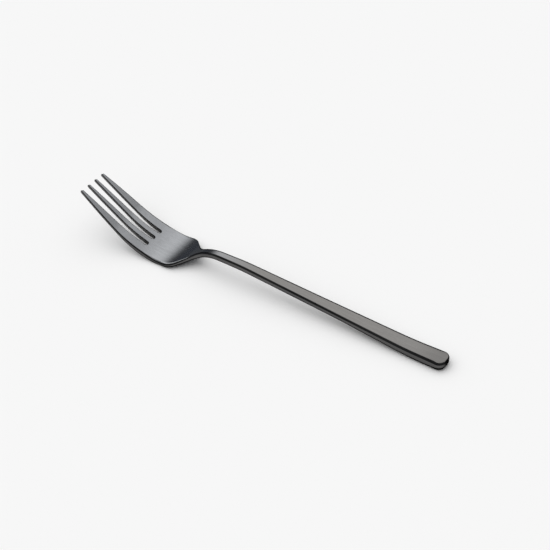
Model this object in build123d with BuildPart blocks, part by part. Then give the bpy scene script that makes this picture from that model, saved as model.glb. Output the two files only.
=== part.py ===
import os
from math import cos, radians, tan

from build123d import *

# A four-tined dinner fork that lies on its back. Sizes are in millimetres and angles in degrees.
# +X runs from the end of the handle to the tips, +Y runs across, and z = 0 is the table.

# Whole fork
fork_length = 206.0
edge_break = 0.3

# Handle from above: a slim taper with slightly hollow sides and a rounded end
end_width = 10.8
end_corner_radius = 3.6
middle_width = 6.8
neck_width = 4.55

# Handle from the side: flat where it rests, then a straight rise to the neck
rest_length = 17.0
rest_bend_radius = 120.0
knee_length = 20.5
knee_bend_radius = 200.0
swell_length = 55.0
end_thickness = 4.55
handle_thickness = 3.1

# Neck from the side: a level crest, then a straight run down to the head
crest_height = 11.6
crest_length = 19.1
crest_bend_radius = 28.0
arch_bend_radius = 136.0
neck_angle = 27.5

# Head from the side: it rests on its belly and curves up into the tines
belly_from_tip = 49.2
belly_thickness = 2.4
belly_radius = 36.9
bowl_radius = 29.4
bend_angle = 10.2
tine_bend_radius = 65.7
tine_angle = 31.8
tip_thickness = 1.55

# Head from above
neck_end_from_tip = 65.7
neck_fillet_radius = 4.8
shoulder_length = 9.6
shoulder_fillet_radius = 9.8
head_width = 24.7

# Slots and tines from above
slot_count = 3
slot_pitch = 5.55
slot_length = 39.0
slot_root_width = 2.25
slot_middle_width = 2.7
inner_tip_width = 1.2
outer_tip_width = 1.3

# Joint in the neck: a tang on the head goes into a blind socket in the handle
joint_setback = 4.2
tang_length = 13.0
tang_width = 2.2
tang_height = 1.5
tang_drop = 0.2
tang_clearance = 0.05
socket_end_gap = 0.3

# Places along the fork
end_x = -fork_length / 2
tip_x = fork_length / 2
outline_end_x = tip_x + tip_thickness
knee_x = end_x + knee_length
swell_x = end_x + swell_length
belly_x = tip_x - belly_from_tip
neck_end_x = tip_x - neck_end_from_tip
shoulder_x = neck_end_x + shoulder_length
slot_root_x = tip_x - slot_length + slot_root_width / 2

# Corners of the neck, where its sloping lines meet the level crest above and below
neck_slope = tan(radians(neck_angle))
belly_tangent = tan(radians(neck_angle / 2))
under_height = crest_height - handle_thickness
crest_x = belly_x - bowl_radius * belly_tangent - (crest_height - belly_thickness) / neck_slope
under_crest_x = belly_x - belly_radius * belly_tangent - under_height / neck_slope
arch_x = crest_x - crest_length
joint_x = crest_x - joint_setback
handle_slope = (crest_height - end_thickness) / (arch_x - knee_x)
swell_height = end_thickness + handle_slope * (swell_x - knee_x) - handle_thickness

# The underside bends into the tines at the radius that makes them tip_thickness thick, with parallel faces
tine_cos = cos(radians(tine_angle))
last_bend_cos = cos(radians(tine_angle - bend_angle))
bend_thickness = belly_thickness * tine_cos + (belly_radius - bowl_radius) * (last_bend_cos - tine_cos)
under_bend_radius = tine_bend_radius - (bend_thickness - tip_thickness) / (1 - last_bend_cos)
tine_run = Vector(1, tan(radians(tine_angle))).normalized()
tip_facing = Vector(tine_run.X, 0, tine_run.Y)

# Widths at the tips
slot_mouth_width = slot_pitch - inner_tip_width
outer_slot_y = slot_pitch * (slot_count - 1) / 2
tip_spread = 2 * (outer_slot_y + slot_mouth_width / 2 + outer_tip_width)

# Side view of the whole fork
with BuildSketch(Plane.XZ) as side_view:
    with BuildLine():
        heel_angles = (270 - neck_angle, neck_angle + bend_angle)
        bowl = CenterArc((belly_x, belly_thickness + bowl_radius), bowl_radius, *heel_angles)
        top_bend = JernArc(bowl @ 1, bowl % 1, tine_bend_radius, tine_angle - bend_angle)
        FilletPolyline(
            bowl @ 0,
            (crest_x, crest_height),
            (arch_x, crest_height),
            (knee_x, end_thickness),
            (end_x, end_thickness),
            radius=[crest_bend_radius, arch_bend_radius, knee_bend_radius],
        )
        belly = CenterArc((belly_x, belly_radius), belly_radius, *heel_angles)
        under_bend = JernArc(belly @ 1, belly % 1, under_bend_radius, tine_angle - bend_angle)
        FilletPolyline(
            belly @ 0,
            (under_crest_x, under_height),
            (arch_x, under_height),
            (swell_x, swell_height),
            (end_x + rest_length, 0),
            (end_x, 0),
            radius=[
                crest_bend_radius - handle_thickness,
                arch_bend_radius,
                rest_bend_radius,
                rest_bend_radius,
            ],
        )
        tine_under = PolarLine(
            under_bend @ 1,
            tip_x - (under_bend @ 1).X,
            tine_angle,
            length_mode=LengthMode.HORIZONTAL,
        )
        tine_top = PolarLine(
            top_bend @ 1,
            (tine_under @ 1 - top_bend @ 1).dot(tine_run),
            tine_angle,
        )
        Line(tine_top @ 1, tine_under @ 1)
        Line((end_x, 0), (end_x, end_thickness))
    make_face()

# One slot, seen from above
with BuildSketch() as slot:
    with BuildLine():
        flank = ThreePointArc(
            (slot_root_x, slot_root_width / 2),
            (tip_x - slot_length / 2, slot_middle_width / 2),
            (tip_x, slot_mouth_width / 2),
        )
        Polyline(flank @ 1, (outline_end_x, slot_mouth_width / 2), (outline_end_x, 0))
        mirror(about=Plane.XZ)
        ThreePointArc(
            (slot_root_x, slot_root_width / 2),
            (tip_x - slot_length, 0),
            (slot_root_x, -slot_root_width / 2),
        )
    make_face()

# Outline of the whole fork from above, with its slots
with BuildSketch() as outline:
    with BuildLine():
        Line((end_x, 0), (end_x, end_width / 2))
        ThreePointArc(
            (end_x, end_width / 2),
            ((end_x + neck_end_x) / 2, middle_width / 2),
            (neck_end_x, neck_width / 2),
        )
        Line((neck_end_x, neck_width / 2), (shoulder_x, head_width / 2))
        TangentArc((shoulder_x, head_width / 2), (tip_x, tip_spread / 2), tangent=(1, 0))
        Polyline((tip_x, tip_spread / 2), (outline_end_x, tip_spread / 2), (outline_end_x, 0))
        mirror(about=Plane.XZ)
    make_face()
    fillet(outline.vertices().group_by(Axis.X)[2], shoulder_fillet_radius)
    fillet(outline.vertices().group_by(Axis.X)[1], neck_fillet_radius)
    fillet(outline.vertices().group_by(Axis.X)[0], end_corner_radius)
    with GridLocations(0, slot_pitch, 1, slot_count):
        add(slot.sketch, mode=Mode.SUBTRACT)

# The whole form of the fork, with its edges broken
with BuildPart() as form:
    extrude(side_view.sketch, amount=head_width, both=True)
    extrude(outline.sketch, amount=fork_length, mode=Mode.INTERSECT)
    walls = form.faces().filter_by(lambda face: abs(face.normal_at().Z) < 0.001)
    rims = walls.edges().filter_by(Axis.Z, reverse=True)
    tips = form.faces().filter_by(lambda face: face.normal_at().dot(tip_facing) > 0.999)
    chamfer(rims + tips.edges().filter_by(Axis.Y), edge_break)

# Head: the part in front of the joint, with the tang behind it
with BuildPart() as fork_head:
    add(form.part)
    split(bisect_by=Plane.YZ.offset(joint_x), keep=Keep.TOP)
    tang_z = crest_height - handle_thickness / 2 - tang_drop
    with Locations((joint_x - tang_length / 2, 0, tang_z)):
        Box(tang_length, tang_width, tang_height)

# Handle: the part behind the joint, with the socket for the tang
with BuildPart() as handle:
    add(form.part)
    split(bisect_by=Plane.YZ.offset(joint_x), keep=Keep.BOTTOM)
    socket_length = tang_length + socket_end_gap
    with Locations((joint_x - socket_length / 2, 0, tang_z)):
        Box(
            socket_length,
            tang_width + 2 * tang_clearance,
            tang_height + 2 * tang_clearance,
            mode=Mode.SUBTRACT,
        )

os.makedirs("parts", exist_ok=True)
fork_head.part.label = "fork_head"
handle.part.label = "handle"
export_step(fork_head.part, "parts/fork_head.step")
export_step(handle.part, "parts/handle.step")
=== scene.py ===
from cmath import exp, phase
from math import ceil, cos, pi, radians, sin, tan

import bmesh
import bpy
import numpy as np
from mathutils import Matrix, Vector


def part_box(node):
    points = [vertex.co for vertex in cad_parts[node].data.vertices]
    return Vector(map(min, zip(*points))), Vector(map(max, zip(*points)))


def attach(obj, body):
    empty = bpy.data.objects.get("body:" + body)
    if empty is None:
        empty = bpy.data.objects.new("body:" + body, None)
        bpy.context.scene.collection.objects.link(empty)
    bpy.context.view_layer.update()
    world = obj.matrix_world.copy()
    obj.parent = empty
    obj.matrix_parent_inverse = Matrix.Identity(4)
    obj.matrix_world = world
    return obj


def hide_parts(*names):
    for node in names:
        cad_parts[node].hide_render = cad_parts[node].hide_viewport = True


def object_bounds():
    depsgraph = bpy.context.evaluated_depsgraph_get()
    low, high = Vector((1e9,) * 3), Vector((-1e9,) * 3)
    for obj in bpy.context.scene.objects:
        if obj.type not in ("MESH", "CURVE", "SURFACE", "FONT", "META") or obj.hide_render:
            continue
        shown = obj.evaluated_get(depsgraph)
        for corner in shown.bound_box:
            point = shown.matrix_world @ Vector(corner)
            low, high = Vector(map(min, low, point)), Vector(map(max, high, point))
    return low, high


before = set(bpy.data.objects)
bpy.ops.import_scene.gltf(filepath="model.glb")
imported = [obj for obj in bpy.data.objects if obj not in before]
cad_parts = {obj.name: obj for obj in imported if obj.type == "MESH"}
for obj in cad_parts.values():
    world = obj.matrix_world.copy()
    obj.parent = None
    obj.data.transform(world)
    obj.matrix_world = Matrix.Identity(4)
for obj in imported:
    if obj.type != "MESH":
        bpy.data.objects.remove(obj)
cad_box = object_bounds()

# The camera of the photograph, in metres and in the frame of the part
CAMERA_PLACE = Vector((-0.32881, 0.49547, 0.50583))
CAMERA_TARGET = Vector((0.00009, -0.01279, 0.0))
CAMERA_LENS = 104.12
CAMERA_SENSOR = 36.0
CAMERA_NEAREST = 0.01

# The form is in millimetres, as in the CAD: +X runs to the tips, +Y across, and z = 0 is the table
MM = 0.001
END_X = cad_box[0].x / MM
TIP_X = -END_X

# Spacing of points, an arc's largest turn between two in radians, and slack for counts and for distances
STEP = 0.6
ARC_STEP = 0.2
STEP_SLACK = 0.01
TOUCHING = 0.01

# Side view, with bends as (x, radius), the swell as (x, z, radius), and angles in degrees
END_THICKNESS = 4.55
KNEE = (END_X + 20.5, 200.0)
ARCH = (9.83, 136.0)
CREST = (29.5, 24.0)
CREST_HEIGHT = 11.6
HANDLE_THICKNESS = 3.1
UNDER_CREST = (CREST[0] - 0.1, CREST[1] - HANDLE_THICKNESS)
REST = (END_X + 17.0, 120.0)
SWELL = (END_X + 55.0, 4.07, 120.0)
BELLY_X = TIP_X - 49.2
BELLY_THICKNESS = 2.4
NECK_ANGLE = 27.5
BEND_ANGLE = 10.2
TINE_ANGLE = 31.8
BOWL_RADII = (29.4, 65.7)
BELLY_RADII = (36.9, 50.2)
TIP_THICKNESS = 1.55
TIP_BLEND = 4 * TIP_THICKNESS

# View from above, with corners as (x, width, radius)
END_WIDTH = 10.35
END_CORNER = 3.8
HOLLOW = (-32.5, 6.85, 3000.0)
NECK = (TIP_X - 66.3, 4.2, 7.5)
SHOULDER = (TIP_X - 56.3, 25.3, 7.0)
FLANK = (TIP_X - 25.5, 24.5, 320.0)
SLOT_PITCH = 5.55
SLOT_ROOT = (TIP_X - 38.5, 2.25)
SLOT_WAIST = (TIP_X - 20.0, 2.3, 600.0)
SLOT_MOUTH = 4.35
OUTER_TIP = 1.3
TIP_CORNER = 0.55

# Radii of the rounded edges at places along the fork, and the black rims beside them on flats and walls,
# which are painted dark reflection
EDGE_PLACES = (END_X, END_X + 64.0, NECK[0], BELLY_X - 4, BELLY_X + 8, TIP_X)
EDGE_RADII = (0.9, 0.6, 0.62, 1.1, 0.55, 0.22)
LOWER_RADII = (1.9, 1.25, 0.9, 0.75, 0.7, 0.4)
FLAT_RIMS = (0.53, 0.63, 0.5, 0.36, 0.32, 0.06)
SLOT_EDGE = 0.32
SLOT_RIM = 0.06
WALL_RIM = 0.1
LOWER_WALL_RIM = 0.35
EDGE_TURNS = 7

# At the end of the handle and along the bowl the painted dark edge leaves out this share of the upper
# edge's turn, so that the steel there mirrors a light rim
UNSHADED_EDGE_PLACES = (END_X, END_X + 5, NECK[0], NECK[0] + 4, BELLY_X + 2, BELLY_X + 10)
UNSHADED_EDGE_SHARES = (0.5, 0.0, 0.0, 0.6, 0.6, 0.0)

# Share of wall: 0 to 1 over the turn of an edge, less on the flat, more on the wall, and where the painted
# dark edge and wall colours begin
FLAT_SHARE = -0.3
WALL_SHARE = 1.3
DARK_EDGE_PAINT_FROM = (-0.28, -0.1)
WALL_SHADE_PAINT_FROM = (0.8, 1.2)

# Half the height of the flat blank that is bent into the fork
BLANK_HEIGHT = 5.0

# Neck joint, in metres, and the angle in degrees from which an edge is sharp
TANG_TAIL = 0.5 * MM
CLEARANCE = 0.05 * MM
SOCKET_GAP = 0.3 * MM
SHARP_ANGLE = 40

# Finish: noise as (length, width, detail), pairs of colours that it mixes, of which the wall and edge
# pairs are painted shade and painted dark reflection, and tones along X in metres, which are painted shade
# that darkens the handle and most of all its end
FINE_GRAIN = (0.006, 0.00012, 2.0)
BROAD_GRAIN = (0.022, 0.0007, 3.0)
CLOUDS = (0.03, 0.012, 2.0)
GRAIN_CONTRAST = (0.3, 0.7)
CLOUD_CONTRAST = (0.35, 0.65)
BRUSHED_COLORS = ((0.224, 0.22, 0.216, 1), (0.274, 0.27, 0.265, 1))
# The wall and edge colours are painted shade and painted dark reflection, darker than the brushed flats
WALL_COLORS = ((0.104, 0.103, 0.103, 1), (0.12, 0.118, 0.117, 1))
EDGE_COLORS = ((0.013, 0.013, 0.0135, 1), (0.019, 0.019, 0.019, 1))
END_PAINTED_SHADE = (0.485, 0.48, 0.475, 1)
HANDLE_PAINTED_SHADE = (0.61, 0.602, 0.594, 1)
HEAD_TONE = (0.945, 0.985, 1.045, 1)
END_TO_HANDLE_SHADE = (-0.1, -0.083)
HANDLE_SHADE_TO_HEAD = (-0.005, 0.045)
SHEEN = (0.1, 0.1, 0.1, 1)
ROUGHNESS = 0.13
STREAK_ROUGHNESS = 0.08
CLOUD_ROUGHNESS = 0.06
SCRATCH_STRENGTH = 0.05
SCRATCH_DEPTH = 0.00002

# Floor of white paper, in metres
FLOOR_SIZE = 40
PAPER_COLORS = ((0.895, 0.895, 0.895, 1), (0.905, 0.905, 0.905, 1))
FIBRE_SCALE = 900.0
FIBRE_DETAIL = 4.0

# Studio: levels, elevations in degrees, and limits of a direction's share along X or away from the camera
AWAY = (0.542, -0.84, 0.0)
SOFTBOX_LEVEL = 1.85
SOFTBOX_FOOT = (19, 38)
SOFTBOX_TOP = (50, 58)
SOFTBOX_SIDES = (0.05, 0.25)
SOFTBOX_REAR_FOOT = (3, 12)
SOFTBOX_REAR = (0.2, 0.45)
SOFTBOX_DIM_END = (-0.5, -0.08)
SOFTBOX_DIM_SHARE = 0.2
STRIP_LEVEL = 4.0
STRIP_SIDE = (0.84, 0.9)
STRIP_FOOT = (13, 17)
STRIP_TOP = (22, 28)
FILL_LEVEL = 0.75
FILL_FRONT = (-0.2, 0.2)
FILL_FOOT = (3, 12)
FILL_ABOVE = (58, 72)
ROOM_LEVELS = (0.2, 0.02)
ROOM_FADE = (10, 20)
DOME_LEVEL = 1.55
WHITE = (1.0, 1.0, 1.0, 1.0)
COOL = (0.9, 1.0, 1.2, 1.0)
COOL_FADE = (12, 30)


def rounded(corners):
    """Points, as complex numbers, along lines whose corners (x, y, radius) are rounded off."""
    places = [complex(x, y) for x, y, _ in corners]
    radii = [radius for _, _, radius in corners]
    line = [places[0]]
    for before, place, after, radius in zip(places, places[1:], places[2:], radii[1:]):
        heading = (place - before) / abs(place - before)
        turn = phase((after - place) / heading)
        start = place - heading * radius * tan(abs(turn) / 2)
        to_start = -1j * heading * radius * np.sign(turn)
        count = max(ceil(abs(turn) * radius / STEP), ceil(abs(turn) / ARC_STEP))
        for step in range(count + 1):
            line.append(start - to_start + to_start * exp(1j * turn * step / count))
    line.append(places[-1])
    points = []
    for near, far in zip(line, line[1:]):
        count = ceil(abs(far - near) / STEP - STEP_SLACK)
        points.extend(near + (far - near) * step / count for step in range(count))
    points.append(line[-1])
    return np.array(points)


def head_corners(height, radii):
    """Corners of the head's side view: the foot of the neck, the bend into the tines, and the tips."""
    bowl, bend = radii
    half_turn = radians(NECK_ANGLE + BEND_ANGLE) / 2
    foot_angle = radians(BEND_ANGLE - NECK_ANGLE) / 2
    foot = complex(BELLY_X, height + bowl) - 1j * bowl / cos(half_turn) * exp(1j * foot_angle)
    bend_length = bowl * tan(half_turn) + bend * tan(radians(TINE_ANGLE - BEND_ANGLE) / 2)
    heel = foot + bend_length * exp(1j * radians(BEND_ANGLE))
    tip_x = TIP_X + TIP_THICKNESS
    tip_z = heel.imag + (tip_x - heel.real) * tan(radians(TINE_ANGLE))
    return [(foot.real, foot.imag, bowl), (heel.real, heel.imag, bend), (tip_x, tip_z, 0)]


# Side view of the whole fork: its upper and its lower line
top = rounded(
    [
        (END_X, END_THICKNESS, 0),
        (KNEE[0], END_THICKNESS, KNEE[1]),
        (ARCH[0], CREST_HEIGHT, ARCH[1]),
        (CREST[0], CREST_HEIGHT, CREST[1]),
        *head_corners(BELLY_THICKNESS, BOWL_RADII),
    ]
)
under_height = CREST_HEIGHT - HANDLE_THICKNESS
under = rounded(
    [
        (END_X, 0, 0),
        (REST[0], 0, REST[1]),
        SWELL,
        (ARCH[0], under_height, ARCH[1]),
        (UNDER_CREST[0], under_height, UNDER_CREST[1]),
        *head_corners(0, BELLY_RADII),
    ]
)


def slot_side(centre, side, mouth_first):
    """Corners along one side of a slot, from its mouth to its root, or back."""
    corners = [
        (TIP_X, centre + side * SLOT_MOUTH / 2, TIP_CORNER),
        (SLOT_WAIST[0], centre + side * SLOT_WAIST[1] / 2, SLOT_WAIST[2]),
        (SLOT_ROOT[0], centre + side * SLOT_ROOT[1] / 2, SLOT_ROOT[1] / 2),
    ]
    return corners if mouth_first else corners[::-1]


# Outline from above, with its slots: one half of it, then its mirror image
slots_half_width = SLOT_PITCH + SLOT_MOUTH / 2
half = rounded(
    [
        (END_X, 0, 0),
        (END_X, END_WIDTH / 2, END_CORNER),
        (HOLLOW[0], HOLLOW[1] / 2, HOLLOW[2]),
        (NECK[0], NECK[1] / 2, NECK[2]),
        (SHOULDER[0], SHOULDER[1] / 2, SHOULDER[2]),
        (FLANK[0], FLANK[1] / 2, FLANK[2]),
        (TIP_X, slots_half_width + OUTER_TIP, TIP_CORNER),
        *slot_side(SLOT_PITCH, 1, True),
        *slot_side(SLOT_PITCH, -1, False),
        *slot_side(0, 1, True),
        (SLOT_ROOT[0], 0, 0),
    ]
)
outline = np.concatenate([half[:-1], np.conj(half[:0:-1])])
ahead = np.roll(outline, -1) - np.roll(outline, 1)
inward = -1j * ahead / abs(ahead)

# Edges and rims along the outline, which are finer in the slots
edge = np.interp(outline.real, EDGE_PLACES, EDGE_RADII)
lower_edge = np.interp(outline.real, EDGE_PLACES, LOWER_RADII)
rims = np.interp(outline.real, EDGE_PLACES, FLAT_RIMS)
# Share of the upper edge's turn that the painted dark edge leaves out, so that it mirrors a light rim
unshaded_edge_share = np.interp(outline.real, UNSHADED_EDGE_PLACES, UNSHADED_EDGE_SHARES)
in_slot = (outline.real > SLOT_ROOT[0] - TOUCHING) & (abs(outline.imag) < slots_half_width)
edge = np.where(in_slot, np.minimum(edge, SLOT_EDGE), edge)
rims = np.where(in_slot, np.minimum(rims, SLOT_RIM), rims)


def edge_rings(radius, wall_rim, side):
    """Rings (inset, height, share of wall) from the rim of a flat, over the rounded edge, to the wall."""
    zero = np.zeros(len(outline))
    rings = [(radius + rims, zero + side * BLANK_HEIGHT, FLAT_SHARE - unshaded_edge_share)]
    for share in np.linspace(0, 1, EDGE_TURNS):
        turn = share * pi / 2
        height = side * (BLANK_HEIGHT - radius * (1 - cos(turn)))
        rings.append((radius * (1 - sin(turn)), height, share - unshaded_edge_share))
    rings.append((zero, side * (BLANK_HEIGHT - radius - wall_rim), zero + WALL_SHARE))
    return rings


# A flat blank with rounded edges
blank = bmesh.new()
wall_layer = blank.verts.layers.float.new("wall")
upper_rings = edge_rings(edge, WALL_RIM, 1)
lower_rings = edge_rings(lower_edge, LOWER_WALL_RIM, -1)
loops = []
for inset, height, wall in [*upper_rings, *reversed(lower_rings)]:
    places = outline + inward * inset
    loops.append([blank.verts.new((p.real, p.imag, z)) for p, z in zip(places, height)])
    for vert, share in zip(loops[-1], wall):
        vert[wall_layer] = share
for upper, lower in zip(loops, loops[1:]):
    for place in range(len(outline)):
        blank.faces.new((upper[place - 1], upper[place], lower[place], lower[place - 1]))
caps = [blank.faces.new(loops[0]), blank.faces.new(loops[-1])]

# Cut the flat faces into strips that can follow the side view
strips = list(dict.fromkeys(item for cap in caps for item in [cap, *cap.edges, *cap.verts]))
for x in np.arange(END_X + STEP, TIP_X, STEP):
    cut = bmesh.ops.bisect_plane(
        blank,
        geom=strips,
        dist=TOUCHING,
        plane_co=(x, 0, 0),
        plane_no=(1, 0, 0),
    )
    strips = cut["geom"]

# Bend the blank to the side view, with the tips square to the tines
tip_back = TIP_THICKNESS * sin(radians(TINE_ANGLE))
for vert in blank.verts:
    x, y, z = vert.co
    if z > 0:
        tip_share = np.clip((x - TIP_X) / TIP_BLEND + 1, 0, 1)
        x -= tip_back * tip_share * tip_share
        z = np.interp(x, top.real, top.imag) + z - BLANK_HEIGHT
    else:
        z = np.interp(x, under.real, under.imag) + z + BLANK_HEIGHT
    vert.co = Vector((x, y, z)) * MM
bmesh.ops.recalc_face_normals(blank, faces=blank.faces)
whole = bpy.data.meshes.new("whole")
blank.to_mesh(whole)
blank.free()


def feed(tree, socket, value):
    """Links a socket to another one, or gives it a plain value."""
    if isinstance(value, bpy.types.NodeSocket):
        tree.links.new(value, socket)
    else:
        socket.default_value = value


def node(tree, kind, **inputs):
    """A new node with these inputs, whose names have underscores for spaces."""
    made = tree.nodes.new(kind)
    for name, value in inputs.items():
        feed(tree, made.inputs[name.replace("_", " ")], value)
    return made


def calc(tree, operation, first, *others):
    """Joins plain values and sockets by one operation, from left to right."""
    for other in others:
        made = tree.nodes.new("ShaderNodeMath")
        made.operation = operation
        feed(tree, made.inputs[0], first)
        feed(tree, made.inputs[1], other)
        first = made.outputs[0]
    return first


def ramp(tree, value, limits, start=0.0, end=1.0):
    """Goes smoothly from start to end while the value goes from one limit to the other."""
    low, high = limits
    made = node(
        tree,
        "ShaderNodeMapRange",
        Value=value,
        From_Min=low,
        From_Max=high,
        To_Min=start,
        To_Max=end,
    )
    made.interpolation_type = "SMOOTHSTEP"
    return made.outputs[0]


def mix_colors(tree, factor, first, second, blend="MIX"):
    """Mixes two colours with the sockets that a Mix node has for them."""
    made = tree.nodes.new("ShaderNodeMix")
    made.data_type = "RGBA"
    made.blend_type = blend
    for place, value in zip((0, 6, 7), (factor, first, second)):
        feed(tree, made.inputs[place], value)
    return made.outputs[2]


def grain(tree, place, length, width, detail):
    """Noise drawn out along the fork, with streaks of this length and width in metres."""
    scaled = node(tree, "ShaderNodeMapping", Vector=place, Scale=(1 / length, 1 / width, 1 / width))
    noise = node(tree, "ShaderNodeTexNoise", Vector=scaled.outputs[0], Scale=1.0, Detail=detail)
    return noise.outputs[0]


def coated_steel():
    """Dark steel with flats brushed along the fork, painted shade along X, and black edges and dark grey
    walls painted as dark reflection and shade.
    """
    material = bpy.data.materials.new("coated_steel")
    material.use_nodes = True
    tree = material.node_tree
    shader = tree.nodes["Principled BSDF"]
    shader.inputs["Metallic"].default_value = 1.0
    shader.inputs["Specular Tint"].default_value = SHEEN
    place = tree.nodes.new("ShaderNodeTexCoord").outputs["Object"]
    along = node(tree, "ShaderNodeSeparateXYZ", Vector=place).outputs["X"]
    wall = tree.nodes.new("ShaderNodeAttribute")
    wall.attribute_name = "wall"
    wall_share = wall.outputs["Fac"]

    fine = grain(tree, place, *FINE_GRAIN)
    broad = grain(tree, place, *BROAD_GRAIN)
    streaks = calc(tree, "MULTIPLY", calc(tree, "ADD", fine, broad), 0.5)
    clouds = grain(tree, place, *CLOUDS)
    cloudy = ramp(tree, clouds, CLOUD_CONTRAST)

    # Painted shade: the flats grow darker from the head to the handle, and darkest at the handle's end
    painted_shade_tone = mix_colors(tree, ramp(tree, along, HANDLE_SHADE_TO_HEAD), HANDLE_PAINTED_SHADE, HEAD_TONE)
    painted_shade_tone = mix_colors(tree, ramp(tree, along, END_TO_HANDLE_SHADE), END_PAINTED_SHADE, painted_shade_tone)
    brushed = mix_colors(tree, ramp(tree, streaks, GRAIN_CONTRAST), *BRUSHED_COLORS)
    flat = mix_colors(tree, 1.0, brushed, painted_shade_tone, "MULTIPLY")
    # Painted dark reflection and shade: black edges and dark grey walls, mixed in over the share of wall
    painted_edge_reflection = mix_colors(tree, cloudy, *EDGE_COLORS)
    painted_wall_shade = mix_colors(tree, cloudy, *WALL_COLORS)
    painted_edge_and_wall_shade = mix_colors(tree, ramp(tree, wall_share, WALL_SHADE_PAINT_FROM), painted_edge_reflection, painted_wall_shade)
    color = mix_colors(tree, ramp(tree, wall_share, DARK_EDGE_PAINT_FROM), flat, painted_edge_and_wall_shade)
    feed(tree, shader.inputs["Base Color"], color)

    streak_roughness = calc(tree, "MULTIPLY", streaks, STREAK_ROUGHNESS)
    cloud_roughness = calc(tree, "MULTIPLY", clouds, CLOUD_ROUGHNESS)
    roughness = calc(tree, "ADD", streak_roughness, cloud_roughness, ROUGHNESS)
    feed(tree, shader.inputs["Roughness"], roughness)
    scratches = node(
        tree,
        "ShaderNodeBump",
        Height=streaks,
        Strength=SCRATCH_STRENGTH,
        Distance=SCRATCH_DEPTH,
    )
    feed(tree, shader.inputs["Normal"], scratches.outputs["Normal"])
    return material


# The two pieces, cut apart at the joint, with the tang and its socket
steel = coated_steel()
joint_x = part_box("handle")[1].x
tang_end_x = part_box("fork_head")[0].x
head_points = [vert.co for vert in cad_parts["fork_head"].data.vertices]
tang = [point for point in head_points if point.x < tang_end_x + TANG_TAIL]
tang_low = (min(point.y for point in tang), min(point.z for point in tang))
tang_high = (max(point.y for point in tang), max(point.z for point in tang))


def joint_piece(name, cad_name, in_front, clearance, end_x):
    """The part of the fork in front of the joint or behind it, with a tang or a socket up to end_x."""
    work = bmesh.new()
    work.from_mesh(whole)
    cut = bmesh.ops.bisect_plane(
        work,
        geom=[*work.verts, *work.edges, *work.faces],
        plane_co=(joint_x, 0, 0),
        plane_no=(1, 0, 0),
        clear_inner=in_front,
        clear_outer=not in_front,
    )
    low_y, low_z = tang_low[0] - clearance, tang_low[1] - clearance
    high_y, high_z = tang_high[0] + clearance, tang_high[1] + clearance
    corners = [(low_y, low_z), (high_y, low_z), (high_y, high_z), (low_y, high_z)]
    rim = [work.verts.new((joint_x, y, z)) for y, z in corners]
    end = [work.verts.new((end_x, y, z)) for y, z in corners]
    ring = [item for item in cut["geom_cut"] if isinstance(item, bmesh.types.BMEdge)]
    for place in range(len(corners)):
        ring.append(work.edges.new((rim[place - 1], rim[place])))
        work.faces.new((rim[place - 1], rim[place], end[place], end[place - 1]))
    work.faces.new(end)
    bmesh.ops.triangle_fill(work, edges=ring, use_beauty=True)
    bmesh.ops.recalc_face_normals(work, faces=work.faces)
    for face in work.faces:
        face.smooth = True
    mesh = bpy.data.meshes.new(name)
    work.to_mesh(mesh)
    work.free()
    mesh.set_sharp_from_angle(angle=radians(SHARP_ANGLE))
    mesh.materials.append(steel)
    piece = bpy.data.objects.new(name, mesh)
    bpy.context.scene.collection.objects.link(piece)
    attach(piece, "root")
    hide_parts(cad_name)


joint_piece("head_and_tang", "fork_head", True, 0.0, tang_end_x)
joint_piece("handle_bar", "handle", False, CLEARANCE, tang_end_x - SOCKET_GAP)
bpy.data.meshes.remove(whole)


def white_paper():
    """Matt paper with faint fibres."""
    material = bpy.data.materials.new("paper")
    material.use_nodes = True
    tree = material.node_tree
    shader = tree.nodes["Principled BSDF"]
    shader.inputs["Roughness"].default_value = 1.0
    shader.inputs["Specular IOR Level"].default_value = 0.0
    place = tree.nodes.new("ShaderNodeTexCoord").outputs["Object"]
    fibres = node(tree, "ShaderNodeTexNoise", Vector=place, Scale=FIBRE_SCALE, Detail=FIBRE_DETAIL)
    white = node(tree, "ShaderNodeValToRGB", Fac=fibres.outputs[0])
    for element, color in zip(white.color_ramp.elements, PAPER_COLORS):
        element.color = color
    feed(tree, shader.inputs["Base Color"], white.outputs["Color"])
    return material


# Floor
bpy.ops.mesh.primitive_plane_add(size=FLOOR_SIZE)
floor = bpy.context.object
floor.name = "floor"
floor.data.materials.append(white_paper())


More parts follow.
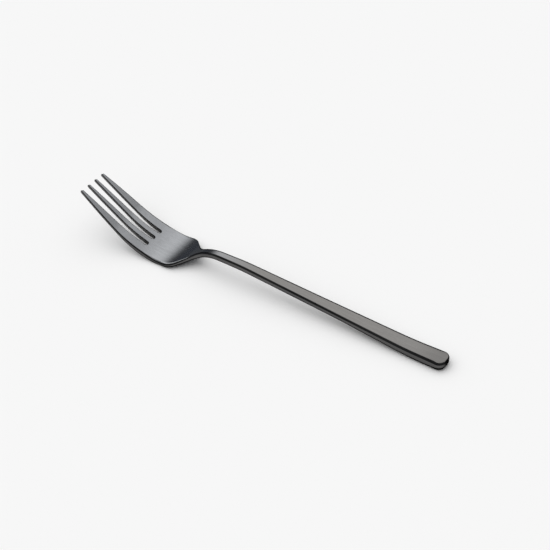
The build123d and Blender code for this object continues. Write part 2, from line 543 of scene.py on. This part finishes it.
def studio():
    """A soft dome lights the floor, and the metal mirrors a softbox, a strip, a fill and a dim room."""
    world = bpy.data.worlds.new("studio")
    world.use_nodes = True
    sky = world.node_tree
    direction = sky.nodes.new("ShaderNodeTexCoord").outputs["Generated"]
    parts = node(sky, "ShaderNodeSeparateXYZ", Vector=direction).outputs
    along, up = parts["X"], parts["Z"]
    away = sky.nodes.new("ShaderNodeVectorMath")
    away.operation = "DOT_PRODUCT"
    feed(sky, away.inputs[0], direction)
    feed(sky, away.inputs[1], AWAY)
    behind = away.outputs["Value"]
    rays = sky.nodes.new("ShaderNodeLightPath").outputs
    mirrored = rays["Is Glossy Ray"]

    def rise(elevations, start=0.0, end=1.0):
        return ramp(sky, up, [sin(radians(angle)) for angle in elevations], start, end)

    # The softbox stands behind the fork, and towards the handle's end it reaches lower and grows dim
    rear_foot = calc(sky, "MULTIPLY", rise(SOFTBOX_REAR_FOOT), ramp(sky, along, SOFTBOX_REAR, 1.0, 0.0))
    softbox = calc(
        sky,
        "MULTIPLY",
        SOFTBOX_LEVEL,
        calc(sky, "MAXIMUM", rise(SOFTBOX_FOOT), rear_foot),
        rise(SOFTBOX_TOP, 1.0, 0.0),
        ramp(sky, behind, SOFTBOX_SIDES),
        ramp(sky, along, SOFTBOX_DIM_END, SOFTBOX_DIM_SHARE, 1.0),
    )

    # The strip is a low light beyond the tips
    strip = calc(
        sky,
        "MULTIPLY",
        STRIP_LEVEL,
        ramp(sky, along, STRIP_SIDE),
        rise(STRIP_FOOT),
        rise(STRIP_TOP, 1.0, 0.0),
    )

    # The fill comes from the camera's side and from above
    front = calc(sky, "MULTIPLY", ramp(sky, behind, FILL_FRONT, 1.0, 0.0), rise(FILL_FOOT))
    fill = calc(sky, "MULTIPLY", FILL_LEVEL, calc(sky, "MAXIMUM", front, rise(FILL_ABOVE)))

    # The dome leans towards the tips, and the camera sees it white
    room = rise(ROOM_FADE, *ROOM_LEVELS)
    reflection = calc(sky, "MULTIPLY", calc(sky, "ADD", softbox, strip, room, fill), mirrored)
    dome = calc(sky, "MULTIPLY", up, DOME_LEVEL, calc(sky, "ADD", along, 1.0))
    dome = calc(sky, "MAXIMUM", dome, rays["Is Camera Ray"])
    dome = calc(sky, "MULTIPLY", dome, calc(sky, "SUBTRACT", 1.0, mirrored))
    low_reflection = calc(sky, "MULTIPLY", rise(COOL_FADE, 1.0, 0.0), mirrored)
    background = sky.nodes["Background"]
    feed(sky, background.inputs["Color"], mix_colors(sky, low_reflection, WHITE, COOL))
    feed(sky, background.inputs["Strength"], calc(sky, "ADD", reflection, dome))
    return world


def photo_camera():
    """The camera that took the photograph."""
    data = bpy.data.cameras.new("camera")
    data.lens = CAMERA_LENS
    data.sensor_width = CAMERA_SENSOR
    data.clip_start = CAMERA_NEAREST
    camera = bpy.data.objects.new("camera", data)
    camera.location = CAMERA_PLACE
    camera.rotation_euler = (CAMERA_TARGET - CAMERA_PLACE).to_track_quat("-Z", "Y").to_euler()
    bpy.context.scene.collection.objects.link(camera)
    return camera


bpy.context.scene.world = studio()
bpy.context.scene.camera = photo_camera()
bpy.context.scene.view_settings.view_transform = "Standard"
